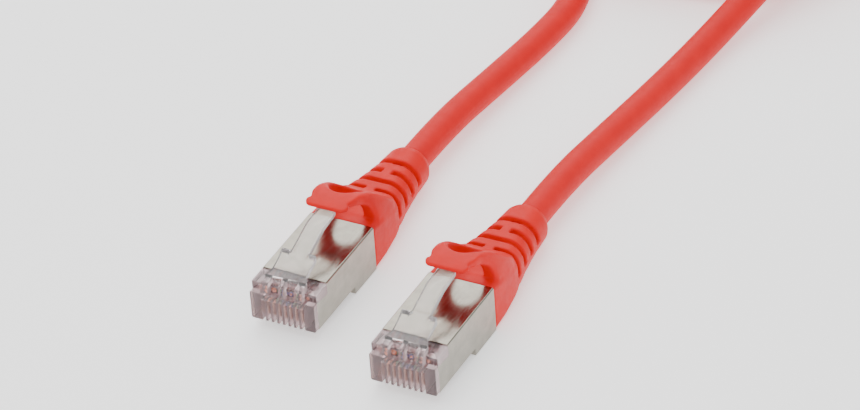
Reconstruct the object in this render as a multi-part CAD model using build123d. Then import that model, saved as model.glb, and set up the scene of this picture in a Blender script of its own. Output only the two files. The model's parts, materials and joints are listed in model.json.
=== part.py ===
from build123d import *
import math
import os

# Shielded ethernet patch cable: two 8P8C plugs with moulded boots on one round cord.
# Millimetres. X runs across a plug, Y from its nose back along the cord, Z up.
# The origin is on the surface that the plugs lie on, in the middle of the pair.
# Each plug is drawn with its nose face at Y = 0 and its nose underside at Z = 0.

# ---- the pair of plugs ----
PLUG_SHIFT = (25.5, -7.5)        # from plug A to plug B
PLUG_LENGTH = 45.6               # nose face to the end of the boot
FLOOR_DROP = 1.5                 # nose underside above the surface

# ---- 8P8C body ----
BODY_WIDTH = 11.7
BOOT_START_Y = 20.9              # rear face of the body, where the boot starts
NOSE_HEIGHT = 6.6
REAR_DROP = 1.4                  # how much deeper the rear of the body is
REAR_STEP_Y = 13.5
LEDGE = (1.0, 5.24)              # depth and height of the step in the nose
SHEET = 0.25                     # shield shell sheet
SHELL_FRONT_Y = 4.7
WING_FRONT = (1.05, 5.08)        # front corner of the shell's side wings: Y, Z
WING_BACK_Z = 4.64
FIT = 0.02                       # gap between pieces that only touch
HOUSING_END_Y = BOOT_START_Y - SHEET - FIT
NOSE_CORNER = 0.3

# ---- contacts and wires ----
PIN_COUNT = 8
PIN_PITCH = 1.02
CONTACT_THICKNESS = 0.35
SLOT = (0.58, 8.6, 3.95)         # width, rear end Y, top Z
PAIRS = {"orange": (0, 1), "green": (2, 5), "blue": (3, 4), "brown": (6, 7)}
WIRE_DIAMETER = 0.9
CORE_DIAMETER = 0.48
WIRE_Z = 4.75                    # wires above the contacts
WIRE_START_Y = 2.9
BAR_Y = (3.0, 8.4)
CAVITY_HALF_WIDTH = 4.6
CAVITY_TOP = 5.75

# ---- latch ----
LATCH_ROOT_HALF = 3.8
LATCH_RIB_EDGES = (0.45, 2.4)    # the windows between the root's three ribs
LATCH_HALF_WIDTHS = (3.1, 1.6)   # wide part, handle
LATCH_THICKNESS = 1.0
LATCH_TOP_Z = 7.3                # top surface above the nose face
LATCH_SLOPE = 0.345
LATCH_HINGE_Y = 1.9
LATCH_SHOULDER_Y = 6.8
LATCH_TOOTH = (4.6, 0.4)         # start Y and height of the locking wedge
LATCH_BEND_Y = 12.5
LATCH_TIP = (17.0, 11.8)         # top corner of the tip: Y, Z

# ---- cord ----
CORD_DIAMETER = 5.2
CORD_Z = 2.3                     # cord axis in the plug
JACKET_WALL = 0.43
FOIL_WALL = 0.08
DRAIN_DIAMETER = 0.4
DRAIN_Z = 3.85
JACKET_START_Y = 14.6
COIL_CENTRE = (0.0, 124.5)
COIL_RADIUS = 27.5               # middle of the turns
COIL_LIFT = 0.8                  # the tie's strap lies under the coil
COIL_SECTION = (10.4, 10.4)      # two turns side by side, two layers
TIE_THICKNESS = 0.75
TIE_ANGLE = 16.0

# ---- boot and latch guard ----
BOOT_HALF_WIDTH = 5.95
BOOT_TOP = 6.95
MOULD_END_Y = 32.0
BARREL = (2.65, 2.9, 27.2)       # crimp barrel: bore radius, outer radius, end Y
GROOVE_YS = (30.9, 34.0, 37.1, 40.2)
GROOVE_SIZE = (1.1, 0.9)         # width and depth
GROOVE_BRIDGE = 1.6
GUARD_CREASE = (21.85, 10.15)    # inside corner where the guard flexes: Y, Z
GUARD_SPLIT_OUT = (1.6, 2.1)     # direction of the split, outwards from the crease
GUARD_HOLE = (3.1, 3.8, 24.2)    # half width, half length, centre Y

# Boot sections: Y, half width, underside, top, corner radius
BOOT_SECTIONS = (
    (BOOT_START_Y, BOOT_HALF_WIDTH, -FLOOR_DROP - 0.1, BOOT_TOP, 0.8),
    (24.5, BOOT_HALF_WIDTH, -FLOOR_DROP - 0.1, BOOT_TOP, 1.3),
    (28.5, 5.75, -FLOOR_DROP - 0.1, 6.85, 2.3),
    (31.5, 5.3, -1.4, 6.55, 2.9),
    (35.0, 4.8, -1.3, 6.2, 3.2),
    (39.0, 4.35, -1.25, 5.9, 3.4),
    (42.0, 4.1, -1.3, 5.8, 3.45),
    (44.2, 3.9, -1.4, 5.8, 3.5),
    (PLUG_LENGTH, 3.1, -0.8, 5.4, 3.0),
)
GUARD_OUTSIDE = ((15.85, 12.9), (17.2, 13.15), (19.4, 13.2), (21.8, 12.55),
                 (24.3, 11.2), (26.7, 9.3), (28.6, 7.6), (30.2, 6.2))
GUARD_INSIDE = ((22.9, 6.4), (22.9, 7.2), (22.6, 8.8), GUARD_CREASE,
                (20.4, 11.15), (18.9, 11.75), (17.2, 12.1), (15.7, 12.3))
GUARD_EDGE = ((3.1, 15.5), (3.95, 16.8), (3.5, 17.8), (4.15, 19.3),
              (4.5, 20.9), (5.3, 22.2), (BOOT_HALF_WIDTH, 23.6))
GUARD_TAPER = ((BOOT_HALF_WIDTH, 6.0), (BOOT_HALF_WIDTH, 7.2), (4.7, 11.4), (4.2, 13.6))

half_body = BODY_WIDTH / 2
shell_top = NOSE_HEIGHT + SHEET
cord_radius = CORD_DIAMETER / 2
plug_places = {
    "a": (-PLUG_SHIFT[0] / 2, -(PLUG_LENGTH + PLUG_SHIFT[1]) / 2),
    "b": (PLUG_SHIFT[0] / 2, -(PLUG_LENGTH - PLUG_SHIFT[1]) / 2),
}


def block(x_range, y_range, z_range):
    """A box between two corners."""
    ranges = (x_range, y_range, z_range)
    size = [high - low for low, high in ranges]
    centre = [(high + low) / 2 for low, high in ranges]
    return Pos(*centre) * Box(*size)


def across(face, half_width, x=0.0):
    """Extrude a face drawn in Y and Z to both sides of X."""
    placed = Plane((x, 0, 0), x_dir=(0, 1, 0), z_dir=(1, 0, 0)) * face
    return extrude(placed, amount=half_width, both=True)


def outline(points):
    """A straight-sided face."""
    return make_face(Polyline(*points, close=True))


def mirrored(points):
    """A path of points and its mirror image, as one closed face."""
    other_side = [(-x, y) for x, y in reversed(points)]
    return outline([*points, *other_side])


def rod(x, z, radius, y_range):
    """A round bar along Y."""
    start = Plane((x, y_range[0], z), x_dir=(1, 0, 0), z_dir=(0, 1, 0))
    return extrude(start * Circle(radius), amount=y_range[1] - y_range[0])


def tube(z, outer_radius, inner_radius, y_range):
    """A round pipe along Y."""
    return rod(0, z, outer_radius, y_range) - rod(0, z, inner_radius, y_range)


def swept(points, radii, diameter):
    """A round bar along straight runs joined by arcs."""
    path = FilletPolyline(*points, radius=radii)
    start = Plane(origin=path @ 0, z_dir=path % 0)
    return sweep(start * Circle(diameter / 2), path=path)


def pin_x(pin):
    """Where a pin stands across the plug; pin 0 is on the left."""
    return (pin - (PIN_COUNT - 1) / 2) * PIN_PITCH


# ---- clear nose housing and latch ----
def latch_top(y):
    return LATCH_TOP_Z + LATCH_SLOPE * y


def nose_housing():
    """Clear body with the comb for the contacts and the root ribs of the latch."""
    inner_half = half_body - SHEET - FIT
    ledge_depth, ledge_z = LEDGE
    front_plane = Plane((0, 0, ledge_z / 2), x_dir=(1, 0, 0), z_dir=(0, -1, 0))
    front = front_plane * RectangleRounded(BODY_WIDTH, ledge_z, NOSE_CORNER)
    body = extrude(front, amount=-(WING_FRONT[0] - FIT))
    upper_side = outline([
        (ledge_depth, ledge_z - 0.1), (ledge_depth, NOSE_HEIGHT),
        (SHELL_FRONT_Y - FIT, NOSE_HEIGHT), (SHELL_FRONT_Y - FIT, WING_BACK_Z + FIT),
        (WING_FRONT[0] - FIT, WING_FRONT[1] + FIT),
    ])
    body += across(upper_side, half_body)
    body += block((-inner_half, inner_half), (ledge_depth, HOUSING_END_Y), (0, NOSE_HEIGHT - FIT))
    body += block((-inner_half, inner_half), (REAR_STEP_Y + SHEET + FIT, HOUSING_END_Y),
                  (SHEET + FIT - REAR_DROP, 1))
    body += latch_ribs()
    slot_width, slot_end, slot_top = SLOT
    for pin in range(PIN_COUNT):
        x = pin_x(pin)
        body -= block((x - slot_width / 2, x + slot_width / 2), (-1, slot_end), (-1, slot_top + 0.05))
    room = (-CAVITY_HALF_WIDTH, CAVITY_HALF_WIDTH)
    body -= block(room, (2.6, slot_end + 0.1), (slot_top, CAVITY_TOP))
    body -= block(room, (slot_end, BOOT_START_Y), (1.0, CAVITY_TOP))
    body -= block(room, (JACKET_START_Y - 0.8, BOOT_START_Y), (-0.65, CAVITY_TOP))
    return body


def latch_ribs():
    """Three ribs on the nose that carry the latch, with windows between them."""
    ledge_depth, ledge_z = LEDGE
    side = outline([
        (0.3, 3.95), (0, 3.95), (-0.15, 4.5), (-0.2, 6.5), (0.0, 7.1), (0.4, latch_top(0.4)),
        (LATCH_HINGE_Y, latch_top(LATCH_HINGE_Y)), (LATCH_HINGE_Y, NOSE_HEIGHT - 0.2),
        (ledge_depth + 0.2, NOSE_HEIGHT - 0.2), (ledge_depth + 0.2, ledge_z - 0.2), (0.3, ledge_z - 0.2),
    ])
    ribs = across(side, LATCH_ROOT_HALF)
    near, far = LATCH_RIB_EDGES
    for window in ((-far, -near), (near, far)):
        ribs -= block(window, (-1, LATCH_HINGE_Y + 1), (ledge_z, NOSE_HEIGHT + 3))
    return ribs


def latch():
    """Spring latch: a wide part with locking teeth, then the thin handle."""
    wide, narrow = LATCH_HALF_WIDTHS
    start_z = latch_top(LATCH_HINGE_Y)
    bend_z = latch_top(LATCH_BEND_Y)
    tip_y, tip_z = LATCH_TIP
    side = outline([
        (LATCH_HINGE_Y, start_z), (LATCH_BEND_Y, bend_z), (tip_y, tip_z),
        (tip_y, tip_z - 0.75), (LATCH_BEND_Y, bend_z - LATCH_THICKNESS),
        (LATCH_HINGE_Y, start_z - LATCH_THICKNESS),
    ])
    plan = mirrored([
        (LATCH_ROOT_HALF, LATCH_HINGE_Y - 1), (LATCH_ROOT_HALF, LATCH_HINGE_Y), (wide, 3.2),
        (wide, LATCH_SHOULDER_Y), (narrow + 0.25, LATCH_SHOULDER_Y), (narrow, LATCH_SHOULDER_Y + 0.5),
        (narrow, tip_y - 0.4), (narrow - 0.4, tip_y + 0.01),
    ])
    bar = across(side, LATCH_ROOT_HALF) & extrude(plan, amount=20)
    tooth_start, tooth_height = LATCH_TOOTH
    shoulder_z = latch_top(LATCH_SHOULDER_Y)
    tooth = outline([
        (tooth_start, latch_top(tooth_start) - 0.1), (LATCH_SHOULDER_Y, shoulder_z + tooth_height),
        (LATCH_SHOULDER_Y, shoulder_z - 0.1),
    ])
    tooth_half = (wide - narrow) / 2
    for side_sign in (-1, 1):
        bar += across(tooth, tooth_half, side_sign * (wide - tooth_half))
    return bar


# ---- contacts and wires ----
def contact(pin):
    """Gold blade with three teeth that pierce the wire above it."""
    side = [(1.0, 0.9), (1.3, 0.45), (2.0, 0.25), (SLOT[1] - FIT, 0.25), (SLOT[1] - FIT, 3.5), (7.6, 3.7)]
    for tooth_y in (6.9, 5.6, 4.3):
        side += [(tooth_y + 0.45, 3.7), (tooth_y, WIRE_Z + 0.1), (tooth_y - 0.45, 3.7)]
    side += [(3.2, 3.7), (2.6, 3.3), (1.0, 3.3)]
    return across(outline(side), CONTACT_THICKNESS / 2, pin_x(pin))


def wire_route(pin):
    """Route of one wire: straight over its contact, then into the cord's bundle."""
    x = pin_x(pin)
    bundle_x = (pin // 2 - 1.5) * 1.0
    upper = pin % 2 == 1
    bundle_z = CORD_Z + (0.5 if upper else -0.5)
    parting_z = WIRE_Z - (0.25 if upper else 1.75)
    return [(x, WIRE_START_Y, WIRE_Z), (x, 9.0, WIRE_Z), (x, 11.0, parting_z),
            (bundle_x, 14.0, bundle_z), (bundle_x, PLUG_LENGTH, bundle_z)]


def wire(pin, diameter):
    return swept(wire_route(pin), 2.0, diameter)


def load_bar():
    """Comb that holds the wires in order over the contacts."""
    bar = block((-CAVITY_HALF_WIDTH + FIT, CAVITY_HALF_WIDTH - FIT), BAR_Y, (4.02, CAVITY_TOP - FIT))
    for pin in range(PIN_COUNT):
        x = pin_x(pin)
        bar -= rod(x, WIRE_Z, WIRE_DIAMETER / 2 + FIT, (0, 10))
        bar -= block((x - 0.21, x + 0.21), (0, 10), (3, WIRE_Z))
    return bar


def drain_wire():
    """Bare drain wire in the cord, folded back over the end of the jacket."""
    over_z = CORD_Z + cord_radius + 0.28
    points = [(0, PLUG_LENGTH, DRAIN_Z), (0, 13.8, DRAIN_Z), (0, 13.8, over_z), (0, HOUSING_END_Y - 0.1, over_z)]
    return swept(points, 0.5, DRAIN_DIAMETER)


# ---- shield shell ----
def shield_shell():
    """Folded nickel-plated shell with side wings, a closed back and a crimp barrel."""
    inner_half = half_body - SHEET
    side = outline([
        WING_FRONT, (SHELL_FRONT_Y, WING_BACK_Z), (SHELL_FRONT_Y, shell_top),
        (BOOT_START_Y, shell_top), (BOOT_START_Y, -REAR_DROP), (REAR_STEP_Y, -REAR_DROP),
        (REAR_STEP_Y, 0), (WING_FRONT[0], 0),
    ])
    outside = across(side, half_body)
    top_edges = outside.edges().filter_by(Axis.Y).group_by(Axis.Z)[-1]
    outside = fillet(top_edges, 0.3)
    inside = block((-inner_half, inner_half), (0, BOOT_START_Y - SHEET), (-FIT, NOSE_HEIGHT))
    inside += block((-inner_half, inner_half), (REAR_STEP_Y + SHEET, BOOT_START_Y - SHEET),
                    (SHEET - REAR_DROP, NOSE_HEIGHT))
    bore, barrel_radius, barrel_end = BARREL
    shell = outside - inside
    shell += rod(0, CORD_Z, barrel_radius, (BOOT_START_Y - SHEET, barrel_end))
    return shell - rod(0, CORD_Z, bore, (BOOT_START_Y - 1, barrel_end + 1))


# ---- boot, inner mould and latch guard ----
def section_face(y, half_width, low, high, radius):
    """Rounded rectangle across the boot at Y."""
    plane = Plane((0, y, (low + high) / 2), x_dir=(1, 0, 0), z_dir=(0, 1, 0))
    return plane * RectangleRounded(2 * half_width, high - low, radius)


def section_at(y):
    """Boot section interpolated at Y."""
    for before, after in zip(BOOT_SECTIONS, BOOT_SECTIONS[1:]):
        if y <= after[0]:
            share = (y - before[0]) / (after[0] - before[0])
            return [low + share * (high - low) for low, high in zip(before[1:], after[1:])]


def inner_mould(gap=0.0):
    """Hard inner mould that locks the shell's barrel and the jacket together."""
    body = block((-4.6 - gap, 4.6 + gap), (BOOT_START_Y, 25.6 + gap), (-0.6 - gap, 5.6 + gap))
    body += rod(0, CORD_Z, 3.35 + gap, (BOOT_START_Y, MOULD_END_Y + gap))
    return body


def inner_mould_piece():
    bore, barrel_radius, barrel_end = BARREL
    body = inner_mould() - rod(0, CORD_Z, barrel_radius + FIT, (0, barrel_end + FIT))
    return body - rod(0, CORD_Z, cord_radius + FIT, (0, PLUG_LENGTH))


def groove(index):
    """Cutter for one flex groove, with bridges left at the top or at the sides."""
    width, depth = GROOVE_SIZE
    y = GROOVE_YS[index]
    half_width, low, high, radius = section_at(y)
    cutter = block((-9, 9), (y - width / 2, y + width / 2), (-4, 9))
    core = section_face(y - width, half_width - depth, low + depth, high - depth, radius - depth)
    cutter -= extrude(core, amount=2 * width)
    middle = (low + high) / 2
    bridge = GROOVE_BRIDGE / 2
    cutter -= block((-9, 9), (y - width, y + width), (middle - 1.6, middle - 1.6 + GROOVE_BRIDGE))
    if index % 2 == 0:
        cutter -= block((-bridge, bridge), (y - width, y + width), (-4, 9))
    return cutter


def hood():
    """Arch over the latch tip: two cheeks on the boot and the guard between them."""
    outer_edge = Spline(*GUARD_OUTSIDE)
    inner_edge = Spline(*GUARD_INSIDE)
    floor_edge = Line(GUARD_OUTSIDE[-1], GUARD_INSIDE[0])
    lip_edge = Line(GUARD_INSIDE[-1], GUARD_OUTSIDE[0])
    side = make_face([outer_edge, floor_edge, inner_edge, lip_edge])
    arch = across(side, BOOT_HALF_WIDTH)
    rim = Spline(*GUARD_EDGE)
    other_rim = mirror(rim, about=Plane.YZ)
    corner_y = GUARD_OUTSIDE[-1][0] + 1
    back = Polyline(GUARD_EDGE[-1], (BOOT_HALF_WIDTH, corner_y), (-BOOT_HALF_WIDTH, corner_y),
                    (-BOOT_HALF_WIDTH, GUARD_EDGE[-1][1]))
    front = Line((GUARD_EDGE[0][0], GUARD_EDGE[0][1]), (-GUARD_EDGE[0][0], GUARD_EDGE[0][1]))
    plan = make_face([rim, back, other_rim, front])
    arch &= extrude(plan, amount=20)
    taper = Plane((0, 0, 0), x_dir=(1, 0, 0), z_dir=(0, -1, 0)) * mirrored(list(GUARD_TAPER))
    arch &= extrude(taper, amount=-40)
    half_width, half_length, centre_y = GUARD_HOLE
    hole = Plane((0, centre_y, BOOT_TOP), x_dir=(0, 1, 0), z_dir=(0, 0, 1)) * Ellipse(half_length, half_width)
    return arch - extrude(hole, amount=12)


def hood_front():
    """The region in front of the guard's flex line."""
    crease_y, crease_z = GUARD_CREASE
    out_y, out_z = GUARD_SPLIT_OUT
    side = outline([
        (crease_y, crease_z), (crease_y + 3 * out_y, crease_z + 3 * out_z), (10, crease_z + 3 * out_z),
        (10, crease_z - 3 * out_z), (crease_y - out_y, crease_z - out_z),
    ])
    return across(side, 10)


def boot():
    """Soft moulded boot with its flex grooves and the cheeks of the hood."""
    sections = [section_face(*values) for values in BOOT_SECTIONS]
    body = loft(sections, ruled=True)
    body -= block((-9, 9), (BOOT_START_Y - 1, PLUG_LENGTH + 1), (-FLOOR_DROP - 2, -FLOOR_DROP))
    for index in range(len(GROOVE_YS)):
        body -= groove(index)
    body += hood() - hood_front()
    body -= inner_mould(FIT)
    return body - rod(0, CORD_Z, cord_radius + FIT, (BOOT_START_Y - 1, PLUG_LENGTH + 1))


def guard():
    """The part of the arch that presses the latch."""
    return hood() & hood_front()


# ---- cord ----
def route_radii(points):
    """Each arc is as large as the shorter of its two runs allows."""
    radii = []
    for before, corner, after in zip(points, points[1:], points[2:]):
        first = Vector(*corner) - Vector(*before)
        second = Vector(*after) - Vector(*corner)
        shorter = min(first.length, second.length)
        half_turn = math.radians(first.get_angle(second)) / 2
        radii.append(0.45 * shorter / math.tan(half_turn))
    return radii


EXIT_HEIGHT = CORD_Z + FLOOR_DROP
LEAD_ROUTES = {
    "a": [(plug_places["a"][0], plug_places["a"][1] + PLUG_LENGTH, EXIT_HEIGHT),
          (-12.75, 38.5, EXIT_HEIGHT), (-11.3, 54.0, 3.0), (-9.6, 69.0, 2.65), (-9.0, 81.5, 2.65),
          (-13.0, 92.5, 2.7), (-19.4, 101.3, 2.9), (-26.1, 109.4, 3.4)],
    "b": [(plug_places["b"][0], plug_places["b"][1] + PLUG_LENGTH, EXIT_HEIGHT),
          (12.75, 31.0, EXIT_HEIGHT), (14.1, 46.5, 3.0), (15.9, 62.5, 2.65), (17.2, 75.5, 2.65),
          (18.9, 87.0, 3.9), (21.1, 96.0, 6.3), (23.6, 103.2, 8.3), (26.1, 109.4, 8.6)],
}


def lead(name):
    """Cord from a boot to the coil."""
    points = LEAD_ROUTES[name]
    radii = route_radii(points)
    tube_solid = swept(points, radii, CORD_DIAMETER)
    print("lead", name, "radii", [round(radius) for radius in radii],
          "length", round(tube_solid.volume / (math.pi * cord_radius ** 2), 1))
    return tube_solid


def coil_section(extra=0.0):
    """Section of the coil's ring, drawn in X and Z at its mean radius."""
    width, height = COIL_SECTION
    centre = (COIL_CENTRE[0] + COIL_RADIUS, COIL_CENTRE[1], COIL_LIFT + height / 2)
    plane = Plane(centre, x_dir=(1, 0, 0), z_dir=(0, -1, 0))
    return plane * RectangleRounded(width + 2 * extra, height + 2 * extra, cord_radius + extra - 0.1)


def cord_coil():
    """Outer shape of the coiled cord."""
    return revolve(coil_section(), axis=Axis((*COIL_CENTRE, 0), (0, 0, 1)))


def cord_tie():
    """Strap round the coil."""
    axis = Axis((*COIL_CENTRE, 0), (0, 0, 1))
    turn = Pos(*COIL_CENTRE, 0) * Rot(0, 0, 90 - TIE_ANGLE / 2) * Pos(-COIL_CENTRE[0], -COIL_CENTRE[1], 0)
    outside = revolve(coil_section(TIE_THICKNESS), axis=axis, revolution_arc=TIE_ANGLE)
    inside = revolve(coil_section(FIT), axis=axis, revolution_arc=TIE_ANGLE)
    return turn * (outside - inside)


# ---- build and write ----
def plug_pieces():
    """Every piece of one plug, by name, drawn at the plug's own origin."""
    contacts = [contact(pin) for pin in range(PIN_COUNT)]
    blades = Compound(children=contacts)
    pieces = {
        "nose_housing": nose_housing(),
        "latch": latch(),
        "contacts": blades,
        "load_bar": load_bar(),
        "shield_shell": shield_shell(),
        "drain_wire": drain_wire(),
        "inner_mould": inner_mould_piece(),
        "boot": boot(),
        "latch_guard": guard(),
    }
    cores = [wire(pin, CORE_DIAMETER) for pin in range(PIN_COUNT)]
    for colour, pins in PAIRS.items():
        insulation = [wire(pin, WIRE_DIAMETER) - cores[pin] - contacts[pin] for pin in pins]
        pieces["pair_" + colour] = Compound(children=insulation)
    pieces["wire_cores"] = Compound(children=[cores[pin] - contacts[pin] for pin in range(PIN_COUNT)])
    jacket_y = (JACKET_START_Y, PLUG_LENGTH)
    inner_radius = cord_radius - JACKET_WALL
    pieces["jacket"] = tube(CORD_Z, cord_radius, inner_radius, jacket_y)
    pieces["foil_shield"] = tube(CORD_Z, inner_radius - FIT, inner_radius - FIT - FOIL_WALL, jacket_y)
    return pieces


def main():
    os.makedirs("parts", exist_ok=True)
    pieces = {}
    plug = plug_pieces()
    for name, (x, y) in plug_places.items():
        for piece_name, shape in plug.items():
            pieces[piece_name + "_" + name] = Pos(x, y, FLOOR_DROP) * shape
        pieces["lead_" + name] = lead(name)
    pieces["cord_coil"] = cord_coil()
    pieces["cord_tie"] = cord_tie()
    for node, shape in pieces.items():
        export_step(shape, "parts/" + node + ".step")


main()
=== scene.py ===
import json
import math

import bmesh
import bpy
import numpy as np
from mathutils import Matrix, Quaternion, Vector


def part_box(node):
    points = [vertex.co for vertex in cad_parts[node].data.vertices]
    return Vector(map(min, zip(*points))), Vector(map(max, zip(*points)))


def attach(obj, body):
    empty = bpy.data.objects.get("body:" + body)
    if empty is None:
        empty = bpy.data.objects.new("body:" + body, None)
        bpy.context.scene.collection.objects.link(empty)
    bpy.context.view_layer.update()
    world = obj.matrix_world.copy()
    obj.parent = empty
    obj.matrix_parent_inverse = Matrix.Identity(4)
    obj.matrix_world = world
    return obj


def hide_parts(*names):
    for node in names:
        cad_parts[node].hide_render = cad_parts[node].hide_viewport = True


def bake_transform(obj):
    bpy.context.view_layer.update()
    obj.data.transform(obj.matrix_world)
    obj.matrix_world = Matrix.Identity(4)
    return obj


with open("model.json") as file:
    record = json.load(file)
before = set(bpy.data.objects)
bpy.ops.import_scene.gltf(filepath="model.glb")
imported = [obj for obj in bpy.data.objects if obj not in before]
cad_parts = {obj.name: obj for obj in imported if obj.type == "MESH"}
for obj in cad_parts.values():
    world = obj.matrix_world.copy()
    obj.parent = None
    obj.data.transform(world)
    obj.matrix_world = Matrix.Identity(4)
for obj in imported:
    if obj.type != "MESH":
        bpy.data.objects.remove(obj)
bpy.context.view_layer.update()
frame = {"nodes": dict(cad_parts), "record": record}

# A shielded ethernet patch cable: two clear plugs in folded metal shells, red moulded boots with
# latch guards, and a round cord whose spare length is wound into a tied coil.
# A plug is described in millimetres from the middle of its nose's lower front edge:
# X across it, Y back along the cord and Z up. The scene itself is in metres.

MM = 0.001
ENDS = ("a", "b")
CORD_DIAMETER = 5.2
CORD_Z = 2.3                     # cord axis above the nose underside
JACKET_START_Y = 14.6
PLUG_LENGTH = 45.6
BOOT_START_Y = 20.9


def plug_origin(end):
    """The plug's own origin in the scene, worked out from its jacket, a straight round tube."""
    low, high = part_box("jacket_" + end)
    middle = (low + high) / 2
    return Vector((middle.x, low.y - JACKET_START_Y * MM, middle.z - CORD_Z * MM))


ORIGINS = {end: plug_origin(end) for end in ENDS}


def link(name, data):
    piece = bpy.data.objects.new(name, data)
    bpy.context.scene.collection.objects.link(piece)
    return piece


# ---------------------------------------------------------------- camera
EYE = Vector((323.7, -565.7, 474.8)) * MM
TARGET = Vector((-7.0, 21.3, 0.0)) * MM
ROLL = math.radians(-4.4)
LENS = 208.0


def add_camera():
    lens = bpy.data.cameras.new("camera")
    lens.lens = LENS
    lens.sensor_width = 36.0
    lens.clip_start = 0.01
    camera = link("camera", lens)
    camera.location = EYE
    aim = (TARGET - EYE).to_track_quat("-Z", "Y")
    camera.rotation_mode = "QUATERNION"
    camera.rotation_quaternion = aim @ Quaternion((0, 0, 1), ROLL)
    bpy.context.scene.camera = camera


add_camera()


# ---------------------------------------------------------------- materials
# A map range node's inputs for colours share their names with those for numbers, so they go by position.
RAMP_VALUE, RAMP_START, RAMP_END, RAMP_LOW, RAMP_HIGH = range(6, 11)


class Shader:
    """A material's node tree, with short ways to add what the materials here share."""

    def __init__(self, name, colour, roughness, metallic=0.0, **inputs):
        self.material = bpy.data.materials.new(name)
        self.material.use_nodes = True
        self.material.diffuse_color = (*colour, 1.0)
        self.tree = self.material.node_tree
        self.surface = self.tree.nodes["Principled BSDF"]
        self.set("Base Color", (*colour, 1.0))
        self.set("Roughness", roughness)
        self.set("Metallic", metallic)
        for socket, value in inputs.items():
            self.set(socket.replace("_", " "), value)

    def set(self, socket, value):
        self.surface.inputs[socket].default_value = value

    def node(self, kind, **sockets):
        made = self.tree.nodes.new(kind)
        for socket, value in sockets.items():
            made.inputs[socket].default_value = value
        return made

    def join(self, output, socket):
        self.tree.links.new(output, socket)

    def coordinates(self, stretch=(1.0, 1.0, 1.0)):
        """Object coordinates in millimetres, stretched by the given factors."""
        source = self.node("ShaderNodeTexCoord")
        mapping = self.node("ShaderNodeMapping")
        mapping.inputs["Scale"].default_value = [factor / MM for factor in stretch]
        self.join(source.outputs["Object"], mapping.inputs["Vector"])
        return mapping.outputs["Vector"]

    def noise(self, scale, detail=3.0, stretch=(1.0, 1.0, 1.0)):
        texture = self.node("ShaderNodeTexNoise", Scale=scale, Detail=detail)
        self.join(self.coordinates(stretch), texture.inputs["Vector"])
        return texture.outputs["Fac"]

    def ramp(self, value, low, high, start=0.3, end=0.7):
        """A value turned into a number between two ends."""
        ramp = self.node("ShaderNodeMapRange")
        ramp.inputs["From Min"].default_value = start
        ramp.inputs["From Max"].default_value = end
        ramp.inputs["To Min"].default_value = low
        ramp.inputs["To Max"].default_value = high
        self.join(value, ramp.inputs["Value"])
        return ramp.outputs["Result"]

    def vary_colour(self, value, low, high, start=0.3, end=0.7):
        """A value turned into a colour between two ends."""
        ramp = self.node("ShaderNodeMapRange")
        ramp.data_type = "FLOAT_VECTOR"
        ramp.inputs[RAMP_START].default_value = (start,) * 3
        ramp.inputs[RAMP_END].default_value = (end,) * 3
        ramp.inputs[RAMP_LOW].default_value = low
        ramp.inputs[RAMP_HIGH].default_value = high
        self.join(value, ramp.inputs[RAMP_VALUE])
        self.join(ramp.outputs["Vector"], self.surface.inputs["Base Color"])

    def vary_roughness(self, value, low, high):
        self.join(self.ramp(value, low, high), self.surface.inputs["Roughness"])

    def bump(self, value, height, strength=0.5):
        """Relief of the given height in millimetres."""
        bump = self.node("ShaderNodeBump", Strength=strength, Distance=height * MM)
        self.join(value, bump.inputs["Height"])
        self.join(bump.outputs["Normal"], self.surface.inputs["Normal"])


def soft_vinyl(name, dark, light, roughness, grain):
    """Moulded or extruded soft vinyl: an even colour with a fine matt grain and a faint glow."""
    shader = Shader(name, light, roughness, Subsurface_Weight=0.1, Subsurface_Scale=1.0 * MM,
                    Subsurface_Radius=(1.0, 0.2, 0.15), Specular_IOR_Level=0.18)
    shader.vary_colour(shader.noise(0.35), dark, light)
    shader.vary_roughness(shader.noise(1.2), roughness - 0.05, roughness + 0.06)
    shader.bump(shader.noise(grain, 4.0), 0.012)
    return shader.material


def plated_metal(name, dark, light, roughness, grain, stretch):
    """Plated sheet: a faint rolled grain, with cloudy patches in its gloss."""
    shader = Shader(name, light, roughness, 1.0)
    shader.vary_colour(shader.noise(0.5), dark, light)
    shader.vary_roughness(shader.noise(grain, 2.0, stretch), roughness * 0.75, roughness * 1.35)
    shader.bump(shader.noise(grain * 1.5, 2.0, stretch), 0.002, 0.3)
    return shader.material


NOSE_TOP_Z = 8.0                 # height above the floor where the tint starts to fade
LATCH_CLEAR_Z = 10.0
CLEAR_SHARE = 0.95               # light let through by a polished face
FLANK_HIGHLIGHT_SHARE = 0.62             # and by a sideways face, lightened as a painted highlight


def clear_plastic(name, colour, thin_colour):
    """Clear polycarbonate with a slight smoky tint, fainter in the thin latch, and faint flow marks.

    Faces that turn sideways let less light through and look whiter, a painted highlight along the latch's
    side edges.
    """
    shader = Shader(name, colour, 0.08, IOR=1.45)
    split = shader.node("ShaderNodeSeparateXYZ")
    shader.join(shader.coordinates(), split.inputs["Vector"])
    shader.vary_colour(split.outputs["Z"], colour, thin_colour, NOSE_TOP_Z, LATCH_CLEAR_Z)
    # Painted highlight: faces turned sideways get less transmission, so they look whiter, like a lit edge.
    facing = shader.node("ShaderNodeSeparateXYZ")
    shader.join(shader.node("ShaderNodeNewGeometry").outputs["Normal"], facing.inputs["Vector"])
    sideways = shader.node("ShaderNodeMath")
    sideways.operation = "ABSOLUTE"
    shader.join(facing.outputs["X"], sideways.inputs[0])
    painted_flank_highlight = shader.ramp(sideways.outputs["Value"], CLEAR_SHARE, FLANK_HIGHLIGHT_SHARE, 0.6, 0.85)
    shader.join(painted_flank_highlight, shader.surface.inputs["Transmission Weight"])
    shader.vary_roughness(shader.noise(0.8), 0.05, 0.14)
    shader.bump(shader.noise(0.5), 0.03, 0.3)
    return shader.material


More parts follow.
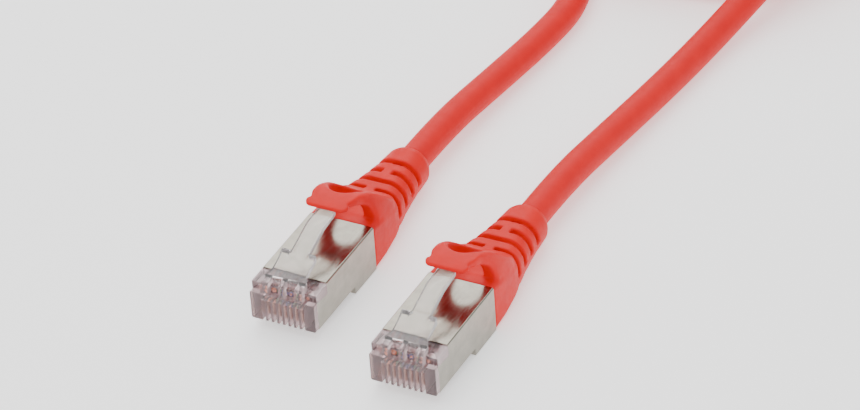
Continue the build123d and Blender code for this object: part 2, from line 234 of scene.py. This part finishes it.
def insulation(name, colour):
    """Wire insulation, one even colour with slightly darker patches."""
    shader = Shader(name, colour, 0.35)
    shader.vary_roughness(shader.noise(2.0), 0.3, 0.45)
    darker = [channel * 0.8 for channel in colour]
    shader.vary_colour(shader.noise(0.9), darker, colour)
    return shader.material


def foil():
    """Crinkled aluminium foil."""
    shader = Shader("foil", (0.83, 0.84, 0.85), 0.25, 1.0)
    shader.bump(shader.noise(2.5, 5.0, (1.0, 0.4, 1.0)), 0.08, 0.8)
    shader.vary_roughness(shader.noise(3.0), 0.15, 0.35)
    return shader.material


def woven_strap():
    """Hook and loop tape: a fine weave with a fuzzy surface."""
    shader = Shader("tie_strap", (0.03, 0.03, 0.033), 0.85, Sheen_Weight=0.4, Sheen_Roughness=0.5)
    weave = shader.node("ShaderNodeTexVoronoi", Scale=2.6)
    shader.join(shader.coordinates(), weave.inputs["Vector"])
    shader.bump(weave.outputs["Distance"], 0.15, 0.8)
    shader.vary_colour(weave.outputs["Distance"], (0.045, 0.045, 0.05), (0.012, 0.012, 0.014), 0.0, 0.8)
    return shader.material


MATERIALS = {
    "boot_vinyl": soft_vinyl("boot_vinyl", (0.66, 0.004, 0.004), (0.73, 0.006, 0.005), 0.5, 9.0),
    "jacket_vinyl": soft_vinyl("jacket_vinyl", (0.64, 0.006, 0.008), (0.70, 0.008, 0.010), 0.55, 6.0),
    "shield_nickel": plated_metal("shield_nickel", (0.29, 0.268, 0.225), (0.35, 0.325, 0.275), 0.18, 3.0,
                                  (1.0, 0.08, 1.0)),
    "clear_body": clear_plastic("clear_body", (0.92, 0.73, 0.75), (0.97, 0.95, 0.94)),
    "contact_gold": plated_metal("contact_gold", (0.55, 0.40, 0.24), (0.66, 0.50, 0.32), 0.25, 4.0,
                                 (1.0, 0.3, 1.0)),
    "tinned_copper": plated_metal("tinned_copper", (0.68, 0.67, 0.65), (0.80, 0.79, 0.77), 0.2, 5.0,
                                  (1.0, 0.2, 1.0)),
    "copper": plated_metal("copper", (0.80, 0.36, 0.22), (0.93, 0.52, 0.36), 0.22, 5.0, (1.0, 0.2, 1.0)),
    "inner_mould": soft_vinyl("inner_mould", (0.72, 0.71, 0.66), (0.80, 0.79, 0.75), 0.5, 5.0),
    "foil": foil(),
    "tie_strap": woven_strap(),
}
WIRE_COLOURS = {
    "orange": (0.85, 0.26, 0.04),
    "green": (0.07, 0.38, 0.13),
    "blue": (0.07, 0.17, 0.55),
    "brown": (0.22, 0.10, 0.05),
}
for colour_name, colour_value in WIRE_COLOURS.items():
    MATERIALS["wire_" + colour_name] = insulation("wire_" + colour_name, colour_value)


def finish_with(piece, slot_name):
    """Give a piece the material of one of the record's slots."""
    piece.data.materials.clear()
    piece.data.materials.append(MATERIALS[slot_name])


for entry in frame["record"]["subparts"]:
    node = frame["nodes"][entry["node"]]
    node.data.materials.clear()
    node.data.materials.append(MATERIALS[entry["material_slot"]])


# ---------------------------------------------------------------- cord
LEAD_A = [(-12.75, 26.55, 3.8), (-12.75, 38.5, 3.8), (-11.3, 54.0, 3.0), (-9.6, 69.0, 2.65),
          (-9.0, 81.5, 2.65), (-13.0, 92.5, 2.7), (-19.4, 101.3, 2.9), (-26.1, 109.4, 3.4)]
LEAD_B = [(12.75, 19.05, 3.8), (12.75, 31.0, 3.8), (14.1, 46.5, 3.0), (15.9, 62.5, 2.65),
          (17.2, 75.5, 2.65), (18.9, 87.0, 3.9), (21.1, 96.0, 6.3), (23.6, 103.2, 8.3),
          (26.1, 109.4, 8.6)]
COIL_CENTRE = (0.0, 124.5)
COIL_TRACKS = ((30.1, 3.4), (24.9, 3.4), (24.9, 8.6), (30.1, 8.6))   # radius and height of each pass
COIL_START = 210.0               # degrees, where lead A runs in
COIL_STEP = 20.0
HELD_TURN = 240.0                # each pass keeps its track this far, then crosses to the next
CROSS_TURN = 120.0
CROSS_BOW = (0.9, -1.2, 0.9)     # how far each crossing swings out, so that the crossings stay apart


def coil_points():
    """Control points of the coil, clockwise seen from above, one every COIL_STEP degrees."""
    points = []
    whole = HELD_TURN + CROSS_TURN
    last = len(COIL_TRACKS) * HELD_TURN + (len(COIL_TRACKS) - 1) * CROSS_TURN
    for step in range(1, int(last / COIL_STEP)):
        turned = step * COIL_STEP
        index = int(turned // whole)
        share = max(0.0, (turned - index * whole - HELD_TURN) / CROSS_TURN)
        radius, height = COIL_TRACKS[index]
        if share > 0:
            smooth = share * share * (3 - 2 * share)
            next_radius, next_height = COIL_TRACKS[index + 1]
            radius += smooth * (next_radius - radius) + CROSS_BOW[index] * math.sin(math.pi * share)
            height += smooth * (next_height - height)
        angle = math.radians(COIL_START - turned)
        reach = radius / math.cos(math.radians(COIL_STEP) / 2)
        x = COIL_CENTRE[0] + reach * math.cos(angle)
        y = COIL_CENTRE[1] + reach * math.sin(angle)
        points.append((x, y, height))
    return points


def add_cord():
    route = LEAD_A + coil_points() + LEAD_B[::-1]
    curve = bpy.data.curves.new("patch_cord", "CURVE")
    curve.dimensions = "3D"
    spline = curve.splines.new("NURBS")
    spline.points.add(len(route) - 1)
    for point, place in zip(spline.points, route):
        point.co = (*(Vector(place) * MM), 1.0)
    spline.order_u = 3
    spline.use_endpoint_u = True
    spline.resolution_u = 10
    curve.bevel_depth = CORD_DIAMETER / 2 * MM
    curve.bevel_resolution = 9
    curve.use_fill_caps = True
    cord = link("patch_cord", curve)
    finish_with(cord, "jacket_vinyl")
    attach(cord, "cable")
    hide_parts("lead_a", "lead_b", "cord_coil")
    return cord


patch_cord = add_cord()


# ---------------------------------------------------------------- meshes from signed distances
def smooth_max(first, second, width):
    """The larger of two distances, rounded over the given width."""
    share = np.clip(0.5 + (first - second) / (2 * width), 0, 1)
    return second + (first - second) * share + width * share * (1 - share)


def smooth_min(first, second, width):
    return -smooth_max(-first, -second, width)


def box_distance(across, along, half_across, half_along, radius=0.0):
    """Distance to a rounded rectangle round the origin; the sizes may be arrays."""
    beyond_across = np.abs(across) - (half_across - radius)
    beyond_along = np.abs(along) - (half_along - radius)
    outside = np.hypot(np.maximum(beyond_across, 0), np.maximum(beyond_along, 0))
    return outside + np.minimum(np.maximum(beyond_across, beyond_along), 0) - radius


def curve_through(points, count=8):
    """A smooth line through points, as a Catmull-Rom curve."""
    points = [np.array(point, float) for point in points]
    ends = [2 * points[0] - points[1], *points, 2 * points[-1] - points[-2]]
    line = []
    for before, start, end, after in zip(ends, ends[1:], ends[2:], ends[3:]):
        for step in range(count):
            t = step / count
            line.append(0.5 * (2 * start + (end - before) * t
                               + (2 * before - 5 * start + 4 * end - after) * t * t
                               + (3 * start - before - 3 * end + after) * t ** 3))
    return [*line, points[-1]]


def outline_distance(u, v, outline):
    """Signed distance to a closed outline, negative inside."""
    nearest = np.full(np.broadcast(u, v).shape, 1e9, np.float32)
    inside = np.zeros(nearest.shape, bool)
    for (u0, v0), (u1, v1) in zip(outline, [*outline[1:], outline[0]]):
        du, dv = u1 - u0, v1 - v0
        length = du * du + dv * dv
        if length == 0:
            continue
        t = np.clip(((u - u0) * du + (v - v0) * dv) / length, 0, 1)
        nearest = np.minimum(nearest, (u - u0 - t * du) ** 2 + (v - v0 - t * dv) ** 2)
        if dv != 0:
            crosses = (v0 > v) != (v1 > v)
            inside ^= crosses & (u < u0 + (v - v0) * du / dv)
    nearest = np.sqrt(nearest)
    return np.where(inside, -nearest, nearest)


def surface_net(field, low, step):
    """Vertices and quads on the zero level of a field sampled on a grid."""
    shape = np.array(field.shape)
    total = np.zeros((*(shape - 1), 3))
    count = np.zeros(shape - 1)
    crossings = []
    for axis in range(3):
        first = np.take(field, range(shape[axis] - 1), axis)
        second = np.take(field, range(1, shape[axis]), axis)
        crossed = (first < 0) != (second < 0)
        crossings.append((crossed, first < 0))
        place = np.stack(np.indices(first.shape), -1).astype(float)
        gap = np.where(crossed, first - second, 1.0)
        place[..., axis] += np.where(crossed, first / gap, 0.0)
        place *= crossed[..., None]
        others = [other for other in range(3) if other != axis]
        for shift in ((0, 0), (0, 1), (1, 0), (1, 1)):
            window = [slice(None)] * 3
            for other, offset in zip(others, shift):
                window[other] = slice(offset, shape[other] - 1 + offset)
            total += place[tuple(window)]
            count += crossed[tuple(window)]
    used = count > 0
    index = np.full(used.shape, -1)
    index[used] = np.arange(used.sum())
    vertices = np.array(low) + step * total[used] / count[used][:, None]
    faces = []
    for axis, (crossed, starts_inside) in enumerate(crossings):
        second_axis, third_axis = (axis + 1) % 3, (axis + 2) % 3
        at = np.argwhere(crossed)
        limits = shape - 1
        inner = np.all([(at[:, other] > 0) & (at[:, other] < limits[other])
                        for other in (second_axis, third_axis)], axis=0)
        at = at[inner]
        corners = []
        for back_second, back_third in ((1, 1), (0, 1), (0, 0), (1, 0)):
            cell = at.copy()
            cell[:, second_axis] -= back_second
            cell[:, third_axis] -= back_third
            corners.append(index[tuple(cell.T)])
        quads = np.stack(corners, -1)
        flipped = ~starts_inside[tuple(at.T)]
        quads[flipped] = quads[flipped][:, ::-1]
        faces.append(quads)
    return vertices, np.concatenate(faces)


def mesh_piece(name, vertices, faces, origin, slot_name):
    """A smooth mesh from points in a plug's own millimetres."""
    mesh = bpy.data.meshes.new(name)
    placed = np.asarray(vertices) * MM + np.array(origin)
    mesh.from_pydata(placed.tolist(), [], faces.tolist())
    mesh.shade_smooth()
    piece = link(name, mesh)
    finish_with(piece, slot_name)
    return piece


# ---------------------------------------------------------------- boot and latch guard
BOOT_HALF_WIDTH = 5.95
BOOT_TOP = 6.95
# Boot sections: Y, half width, underside, top, corner radius
BOOT_SECTIONS = np.array([
    (20.9, 5.95, -1.5, 6.95, 0.9), (24.5, 5.95, -1.5, 6.95, 1.4), (28.5, 5.75, -1.5, 6.85, 2.3),
    (31.5, 5.3, -1.4, 6.55, 2.9), (35.0, 4.8, -1.3, 6.2, 3.2), (39.0, 4.35, -1.25, 5.9, 3.4),
    (42.0, 4.1, -1.3, 5.8, 3.45), (44.2, 3.9, -1.4, 5.8, 3.5), (45.6, 3.3, -0.9, 5.4, 3.1)])
GUARD_OUTSIDE = ((15.85, 12.9), (17.2, 13.15), (19.4, 13.2), (21.8, 12.55),
                 (24.3, 11.2), (26.7, 9.3), (28.6, 7.6), (30.2, 6.2))
GUARD_INSIDE = ((22.9, 6.4), (22.9, 7.2), (22.6, 8.8), (21.85, 10.15),
                (20.4, 11.15), (18.9, 11.75), (17.2, 12.1), (15.7, 12.3))
GUARD_EDGE = ((3.1, 15.5), (3.95, 16.8), (3.5, 17.8), (4.15, 19.3),
              (4.5, 20.9), (5.3, 22.2), (BOOT_HALF_WIDTH, 23.6), (5.9, 26.0), (5.1, 29.0), (3.4, 31.0))
GUARD_TAPER = ((BOOT_HALF_WIDTH, 5.0), (BOOT_HALF_WIDTH, 7.2), (4.7, 11.4), (4.2, 13.6))
GUARD_HOLE = (3.1, 3.8, 24.2)    # half width, half length, centre Y
ARCH_ROUNDING = ((24.0, 27.0), (0.45, 1.2))          # Y, and the fillet between arch and boot there
GROOVE_YS = (30.9, 34.0, 37.1, 40.2)
GROOVE_WIDTH = 1.25
GROOVE_DEPTH = 0.95
GROOVE_BRIDGE = 1.7              # width of the bridges that interrupt the grooves
SIDE_BRIDGE_Z = (0.7, 2.3)
BORE_GAP = 0.02                  # between the cord and the boot's bore
MOULD_ROOM = (4.62, 3.12, 2.5, 25.62)                # half width, half height, middle Z, end Y
BARREL_ROOM = (3.37, 32.0)       # radius, end Y
GRID_LOW = (-6.5, 14.9, -2.1)
GRID_HIGH = (6.5, 46.2, 13.9)
GRID_STEP = 0.15


def boot_field(x, y, z):
    """Signed distance to the boot and guard, in a plug's own millimetres."""
    along = y[0, :, 0]
    half_width, underside, top, radius = [
        np.interp(along, BOOT_SECTIONS[:, 0], BOOT_SECTIONS[:, column])[None, :, None]
        for column in range(1, 5)]
    middle = (underside + top) / 2
    section = box_distance(x, z - middle, half_width, (top - underside) / 2, radius)
    body = smooth_max(section, BOOT_START_Y - y, 0.15)
    body = smooth_max(body, y - PLUG_LENGTH, 0.8)
    for index, groove_y in enumerate(GROOVE_YS):
        groove = smooth_max(np.abs(y - groove_y) - GROOVE_WIDTH / 2, -section - GROOVE_DEPTH, 0.2)
        side_bridge = np.maximum(SIDE_BRIDGE_Z[0] - z, z - SIDE_BRIDGE_Z[1])
        groove = smooth_max(groove, -side_bridge, 0.2)
        if index % 2 == 0:
            top_bridge = np.maximum(np.abs(x) - GROOVE_BRIDGE / 2, 2.0 - z)
            groove = smooth_max(groove, -top_bridge, 0.2)
        body = smooth_max(body, -groove, 0.25)
    arch_side = [*curve_through(GUARD_OUTSIDE), *curve_through(GUARD_INSIDE)]
    arch = outline_distance(y[0], z[0], arch_side)[None]
    rim = curve_through(GUARD_EDGE)
    plan = [*rim, *[(-across, edge_y) for across, edge_y in reversed(rim)]]
    arch = smooth_max(arch, outline_distance(x[:, :, 0], y[:, :, 0], plan)[:, :, None], 0.45)
    taper = [*GUARD_TAPER, *[(-across, height) for across, height in reversed(GUARD_TAPER)]]
    arch = smooth_max(arch, outline_distance(x[:, 0, :], z[:, 0, :], taper)[:, None, :], 1.2)
    hole_width, hole_length, hole_y = GUARD_HOLE
    hole = (np.hypot(x / hole_width, (y - hole_y) / hole_length) - 1) * min(hole_width, hole_length)
    hole = np.maximum(hole, BOOT_TOP - z)
    arch = smooth_max(arch, -hole, 0.5)
    rounding = np.interp(along, ARCH_ROUNDING[0], ARCH_ROUNDING[1])[None, :, None]
    whole = smooth_min(body, arch, rounding)
    bore = np.hypot(x, z - CORD_Z) - CORD_DIAMETER / 2 - BORE_GAP
    mould_half_width, mould_half_height, mould_z, mould_end_y = MOULD_ROOM
    mould = np.maximum(box_distance(x, z - mould_z, mould_half_width, mould_half_height), y - mould_end_y)
    barrel_radius, barrel_end_y = BARREL_ROOM
    barrel = np.maximum(np.hypot(x, z - CORD_Z) - barrel_radius, y - barrel_end_y)
    return np.maximum(whole, -np.minimum(np.minimum(bore, mould), barrel))


def add_boots():
    """Net the boot's surface once and place it on both plugs."""
    axes = [np.arange(start, stop, GRID_STEP, dtype=np.float32) for start, stop in zip(GRID_LOW, GRID_HIGH)]
    x, y, z = np.meshgrid(*axes, indexing="ij")
    vertices, faces = surface_net(boot_field(x, y, z), GRID_LOW, GRID_STEP)
    for end in ENDS:
        skin = mesh_piece("boot_skin_" + end, vertices, faces, ORIGINS[end], "boot_vinyl")
        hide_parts("boot_" + end, "latch_guard_" + end)
        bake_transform(skin)


add_boots()


# ---------------------------------------------------------------- clear latches
LATCH_BEVEL = 0.16
WELD_DISTANCE = 0.002
FLAT_ANGLE = math.radians(1.0)   # faces closer than this to one plane become one face
BEVEL_ANGLE = math.radians(35)
SHARP_ANGLE = math.radians(50)


def add_latch(end):
    """The latch with its moulded edges rounded, so that they catch the light."""
    latch = link("latch_skin_" + end, frame["nodes"]["latch_" + end].data.copy())
    mesh = bmesh.new()
    mesh.from_mesh(latch.data)
    bmesh.ops.remove_doubles(mesh, verts=mesh.verts, dist=WELD_DISTANCE * MM)
    bmesh.ops.dissolve_limit(mesh, angle_limit=FLAT_ANGLE, verts=mesh.verts, edges=mesh.edges)
    sharp = [edge for edge in mesh.edges if edge.is_manifold and edge.calc_face_angle() > BEVEL_ANGLE]
    bmesh.ops.bevel(mesh, geom=sharp, offset=LATCH_BEVEL * MM, segments=3, profile=0.5, affect="EDGES",
                    clamp_overlap=True)
    mesh.to_mesh(latch.data)
    mesh.free()
    latch.data.shade_smooth()
    latch.data.set_sharp_from_angle(angle=SHARP_ANGLE)
    finish_with(latch, "clear_body")
    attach(latch, "latch_" + end)
    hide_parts("latch_" + end)


for end in ENDS:
    add_latch(end)


# ---------------------------------------------------------------- stage
FLOOR_HALF = 3.0                 # metres
FLOOR_GAP = 0.05                 # millimetres below the cord, so that the two never share a plane


def add_floor():
    mesh = bpy.data.meshes.new("floor")
    corners = [(-FLOOR_HALF, -FLOOR_HALF, 0), (FLOOR_HALF, -FLOOR_HALF, 0),
               (FLOOR_HALF, FLOOR_HALF, 0), (-FLOOR_HALF, FLOOR_HALF, 0)]
    mesh.from_pydata(corners, [], [(0, 1, 2, 3)])
    floor = link("floor", mesh)
    floor.location.z = -FLOOR_GAP * MM
    shader = Shader("floor", (0.95, 0.95, 0.95), 0.6, Emission_Strength=0.7)
    shader.set("Emission Color", (1.0, 1.0, 1.0, 1.0))
    shader.vary_colour(shader.noise(0.004), (0.92, 0.92, 0.92), (0.94, 0.94, 0.94))
    mesh.materials.append(shader.material)


LIGHT_AIM = (0.0, 0.02, 0.0)


def add_area(name, place, size, power):
    """A soft light at a place, aimed at the plugs."""
    light = bpy.data.lights.new(name, "AREA")
    light.energy = power
    light.shape = "RECTANGLE"
    light.size = size[0]
    light.size_y = size[1]
    lamp = link(name, light)
    lamp.location = place
    lamp.rotation_euler = (Vector(LIGHT_AIM) - Vector(place)).to_track_quat("-Z", "Y").to_euler()


def add_world():
    world = bpy.data.worlds.new("world")
    world.use_nodes = True
    background = world.node_tree.nodes["Background"]
    background.inputs["Color"].default_value = (1.0, 1.0, 1.0, 1.0)
    background.inputs["Strength"].default_value = 0.8
    bpy.context.scene.world = world


add_floor()
add_world()
add_area("overhead", (-0.15, 0.1, 0.9), (0.9, 0.9), 6.0)
add_area("front", (0.35, -0.8, 0.35), (0.5, 0.35), 2.0)
add_area("back", (-0.45, 0.85, 0.70), (1.1, 0.8), 7.0)
